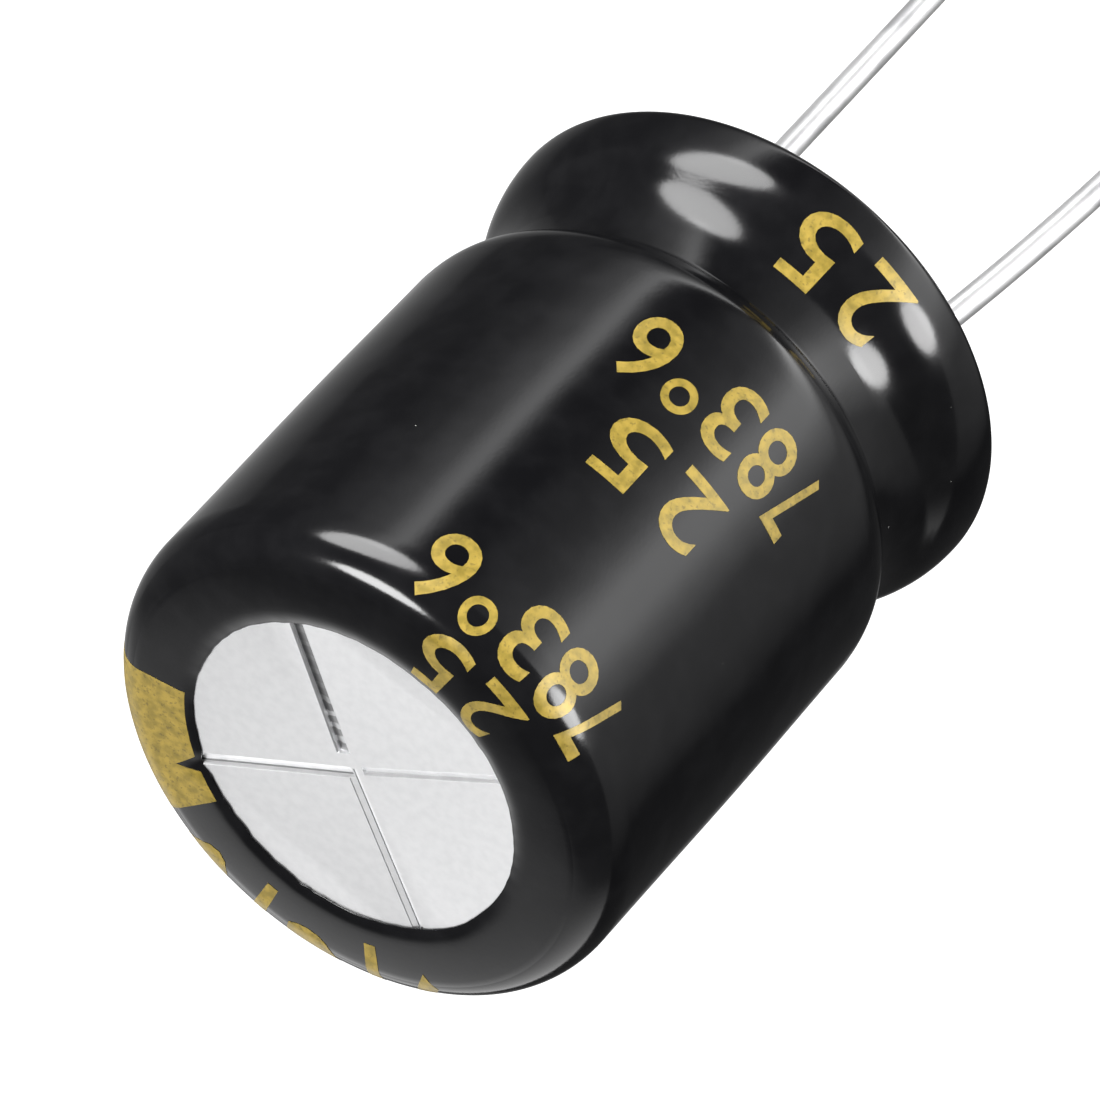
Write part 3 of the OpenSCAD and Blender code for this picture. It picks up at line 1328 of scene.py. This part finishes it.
class PrintLayout:
    """Where the print stands on the sleeve."""

    def __init__(self, ruler: GoldPrint) -> None:
        """Keeps the film's measure."""
        self.ruler = ruler

    def length_at(self, height: float) -> float:
        """Finds a height above the groove's floor.

        Args:
            height: the height.

        Returns:
            The film length at which its outer face passes that height.
        """
        line, along = self.ruler.line, self.ruler.along
        count = int(np.argmax(line[:, 1] < self.ruler.sizes.floor_low))
        return float(np.interp(-height, -line[:count, 1], along[:count]))

    def pair_row(self, top: float, bottom: float) -> list[Mark]:
        """Returns the row of two wide digits."""
        return [
            Mark(Kind.DIGIT, 37.0, 48.5, top, bottom, "2"),
            Mark(Kind.DIGIT, 53.0, 65.0, top, bottom, "5"),
        ]

    def long_row(self, top: float, bottom: float) -> list[Mark]:
        """Returns the row of three digits, a small ring and one more digit."""
        ring_low = top + (bottom - top) * 0.48
        return [
            Mark(Kind.DIGIT, 25.0, 31.5, top, bottom, "7"),
            Mark(Kind.DIGIT, 33.0, 42.0, top, bottom, "8"),
            Mark(Kind.DIGIT, 44.0, 53.0, top, bottom, "3"),
            Mark(Kind.RING, 55.5, 63.0, top, ring_low),
            Mark(Kind.DIGIT, 65.0, 75.0, top, bottom, "6"),
        ]

    def back_marks(self) -> list[Mark]:
        """Lays out the side away from the front rows.

        Returns:
            Its large digits, a row of smaller ones and a bar.
        """
        at = self.length_at
        tall = [(216.5, 233.0, "0"), (247.0, 262.0, "3"), (276.5, 290.5, "6")]
        marks = [Mark(Kind.DIGIT, left, right, 1.55, at(17.6), text) for left, right, text in tall]
        marks += [Mark(Kind.BAR, left, left + 3.4, 0.95, at(17.6)) for left in (238.5, 269.0)]
        wide = [(222.0, 233.0, "6"), (237.0, 248.0, "8"), (252.0, 263.0, "0"), (268.0, 279.0, "0")]
        marks += [Mark(Kind.DIGIT, left, right, at(15.6), at(12.6), text) for left, right, text in wide]
        marks += [Mark(Kind.BAR, 222.0, 279.0, at(11.4), at(11.0))]
        return marks

    def stripe_marks(self) -> list[Mark]:
        """Returns the pole stripe, with a row of windows in the shape of a minus."""
        return [Mark(Kind.STRIPE, 170.5, 211.0, 0.22, self.ruler.along[-1] - 0.5)]

    def front_marks(self) -> list[Mark]:
        """Lays out the front.

        Returns:
            The rows that repeat down the sleeve.
        """
        at = self.length_at
        marks = self.pair_row(0.15, 2.35)
        marks += self.long_row(at(21.3), at(18.9))
        marks += self.pair_row(at(14.4), at(11.9))
        marks += self.long_row(at(11.1), at(8.4))
        flange = self.ruler.along[-1]
        marks += self.pair_row(flange - 6.1, flange - 3.7)
        return marks


# ----------------------------------------------------------------------- stage


@dataclass(frozen=True)
class Softbox:
    """An oval lamp, given by the direction in which the capacitor sees it."""

    name: str
    azimuth: float
    elevation: float
    distance: float
    width: float
    height: float
    radiance: float
    roll: float = 0.0
    aim: tuple[float, float, float] = (0.0, 0.0, 11.0)

    def build(self) -> None:
        """Builds the lamp."""
        turn, rise = math.radians(self.azimuth), math.radians(self.elevation)
        level = math.cos(rise)
        away = Vector((math.cos(turn) * level, math.sin(turn) * level, math.sin(rise)))
        lamp = bpy.data.lights.new(self.name, "AREA")
        lamp.shape = "ELLIPSE"
        lamp.size, lamp.size_y = self.width * MM, self.height * MM
        lamp.energy = self.radiance * math.pi * lamp.size * lamp.size_y
        holder = bpy.data.objects.new(self.name, lamp)
        facing = away.to_track_quat("Z", "Y").to_matrix() @ Matrix.Rotation(math.radians(self.roll), 3, "Z")
        place = (Vector(self.aim) + away * self.distance) * MM
        holder.matrix_world = Matrix.Translation(place) @ facing.to_4x4()
        holder.visible_camera = False
        bpy.context.scene.collection.objects.link(holder)


@dataclass(frozen=True)
class Studio:
    """Camera, floor, surroundings and lamps. Lanes are azimuths and how bright the floor mirrors there."""

    lens: float = 294.545
    camera_mm: tuple[float, float, float] = (110.911, 164.432, 170.184)
    camera_back: tuple[float, float, float] = (0.43685, 0.64603, 0.62595)
    camera_up: tuple[float, float, float] = (-0.30325, 0.76089, -0.57366)
    floor_z: float = -420.0
    floor_size: float = 6.0
    floor_colour: Colour = grey(0.80)
    bright_side: tuple[float, float, float] = (-0.225, -0.974, 0.0)
    bright_edge: Point = (0.58, 1.02)
    bright_level: float = 2.0
    dim_level: float = 0.15
    lamps: tuple[Softbox, ...] = (
        Softbox("long box", 107, 0, 280, 200, 128, 15.5, 20),
        Softbox("small box", 113, 56, 280, 140, 96, 32.0, -35),
        Softbox("side box", 16, -6, 280, 105, 120, 22.0),
    )
    lanes: tuple[tuple[float, float], ...] = (
        (-180, 0.15), (-150, 0.35), (-128, 0.60), (-104, 0.05), (-48, 0.05), (-26, 0.50), (-4, 0.80),
        (8, 2.4), (17, 4.6), (29, 5.2), (40, 2.0), (50, 0.85), (70, 0.30), (80, 0.03),
        (95, 0.03), (99, 1.2), (103, 4.6), (113, 1.3), (128, 0.35), (146, 0.08), (176, 0.08),
    )

    def build_camera(self) -> None:
        """Builds the camera at the photograph's place."""
        back = Vector(self.camera_back).normalized()
        right = Vector(self.camera_up).cross(back).normalized()
        up = back.cross(right)
        data = bpy.data.cameras.new("camera")
        data.lens, data.sensor_width, data.sensor_fit = self.lens, 36.0, "HORIZONTAL"
        data.clip_start, data.clip_end = 0.01, 20.0
        holder = bpy.data.objects.new("camera", data)
        axes = Matrix((right, up, back)).transposed()
        holder.matrix_world = Matrix.Translation(Vector(self.camera_mm) * MM) @ axes.to_4x4()
        bpy.context.scene.collection.objects.link(holder)
        bpy.context.scene.camera = holder

    def build_floor(self) -> None:
        """Builds the white floor."""
        bm = bmesh.new()
        bmesh.ops.create_grid(bm, x_segments=1, y_segments=1, size=self.floor_size / 2)
        bmesh.ops.translate(bm, vec=(0, 0, self.floor_z * MM), verts=bm.verts)
        floor = to_object("floor", bm)
        material = bpy.data.materials.new("white floor")
        material.use_nodes = True
        graph = Graph(material.node_tree)
        rays = graph.node("ShaderNodeLightPath")
        names = ("Is Camera Ray", "Is Glossy Ray", "Is Transmission Ray")
        camera, mirrored, through = (Value(graph, rays.outputs[name]) for name in names)
        turn = graph.axis("Y").math("ARCTAN2", graph.axis("X")) / (2 * math.pi) + 0.5
        stops = [((azimuth + 180) / 360, grey(level)) for azimuth, level in self.lanes]
        lane = graph.node("ShaderNodeValToRGB", {"stops": stops}, {0: turn})
        uneven = graph.node("ShaderNodeRGBToBW", None, {0: lane.outputs[0]})
        strength = camera + through + mirrored * Value(graph, uneven.outputs[0])
        matt = graph.node("ShaderNodeBsdfDiffuse", None, {"Color": self.floor_colour})
        glow = graph.node("ShaderNodeEmission", None, {"Color": grey(1.0), "Strength": strength})
        lit = graph.node("ShaderNodeAddShader", None, {0: matt, 1: glow})
        seen = graph.node("ShaderNodeMixShader", None, {0: mirrored, 1: lit, 2: glow})
        graph.node("ShaderNodeOutputMaterial", None, {"Surface": seen})
        floor.data.materials.append(material)

    def build_world(self) -> None:
        """Builds the pale surroundings."""
        world = bpy.data.worlds.new("surroundings")
        bpy.context.scene.world = world
        world.use_nodes = True
        graph = Graph(world.node_tree)
        rays = graph.node("ShaderNodeLightPath")
        coords = graph.node("ShaderNodeTexCoord")
        sockets = {0: coords.outputs["Generated"], 1: self.bright_side}
        towards = graph.node("ShaderNodeVectorMath", {"operation": "DOT_PRODUCT"}, sockets)
        facing = Value(graph, towards.outputs["Value"])
        glow = facing.ramp(*self.bright_edge) * self.bright_level + self.dim_level
        plain = Value(graph, rays.outputs["Is Camera Ray"]) + Value(graph, rays.outputs["Is Transmission Ray"])
        level = graph.node("ShaderNodeMix", {"data_type": "FLOAT"}, {0: plain, 2: glow, 3: 1.0})
        lit = graph.node("ShaderNodeBackground", None, {"Color": grey(1.0), "Strength": level.outputs[0]})
        graph.node("ShaderNodeOutputWorld", None, {"Surface": lit})

    def build(self) -> None:
        """Builds the whole stage."""
        self.build_camera()
        self.build_floor()
        self.build_world()
        for lamp in self.lamps:
            lamp.build()
        bpy.context.scene.view_settings.view_transform = "Standard"


def dress_nodes(nodes: dict[str, bpy.types.Object]) -> None:
    """Gives the carried-over inner nodes their finishes.

    Args:
        nodes: the model's nodes by name.
    """
    finishes: dict[str, Finish] = {
        "seal": SealRubber("seal rubber"),
        "anode_tab": TabMetal("tab aluminium"),
        "cathode_tab": TabMetal("tab aluminium"),
        "winding": RolledFoil("rolled foil and paper"),
        "winding_tape": AmberTape("amber tape"),
    }
    for name, finish in finishes.items():
        for slot in nodes[name].material_slots:
            slot.material = finish.material()
        LOG.info("%s: dressed", name)


def main() -> None:
    """Builds the capacitor and its stage."""
    logging.basicConfig(level=logging.INFO, format="%(name)s: %(message)s")
    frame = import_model()
    Studio().build()

    sizes = CaseSizes()
    form = FilmForm(sizes)
    ShrinkSleeve(sizes, form).build()
    DrawnCan(sizes).build()
    LeadWire("anode_wire", "anode_lead", x=3.75, tip_z=-25.2158, splay_deg=11.2).build()
    LeadWire("cathode_wire", "cathode_lead", x=-3.75, tip_z=-20.0).build()
    digits = GoldPrint(sizes, form, "gold_digits")
    layout = PrintLayout(digits)
    digits.marks = layout.front_marks() + layout.back_marks() + layout.stripe_marks()
    digits.build()
    dress_nodes(frame["nodes"])


if __name__ == "__main__":
    main()
